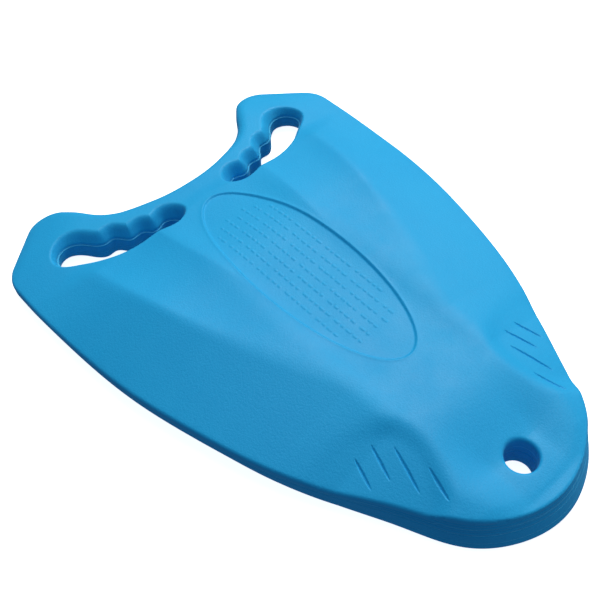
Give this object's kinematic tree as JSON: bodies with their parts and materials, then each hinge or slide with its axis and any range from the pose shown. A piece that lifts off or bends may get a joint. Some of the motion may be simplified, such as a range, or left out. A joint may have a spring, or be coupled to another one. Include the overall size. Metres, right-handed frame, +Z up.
{
  "type": "kickboard float",
  "caption": "Swimmer's kickboard of laminated foam with an arched tail, two finger-shaped hand slots, palm hollows and a rounded nose with a lanyard hole.",
  "frame": {"origin": "centre of the bounding box in plan, on the flat underside", "axes": "+Z up out of the upper face, +Y along the board towards the arched tail with the hand slots, X across the board"},
  "size_m": [0.3186, 0.4362, 0.0412],
  "materials": {
    "foam_upper": "matte moulded EVA foam skin",
    "foam_lower": "matte moulded EVA foam skin",
    "bond_film": "pale pressed adhesive line"
  },
  "bodies": {
    "root": {"bottom_sheet": "foam_lower", "lower_bond_film": "bond_film", "lower_core_sheet": "foam_lower", "parting_bond_film": "bond_film", "upper_core_sheet": "foam_upper", "upper_bond_film": "bond_film", "top_sheet": "foam_upper"}
  },
  "joints": []
}
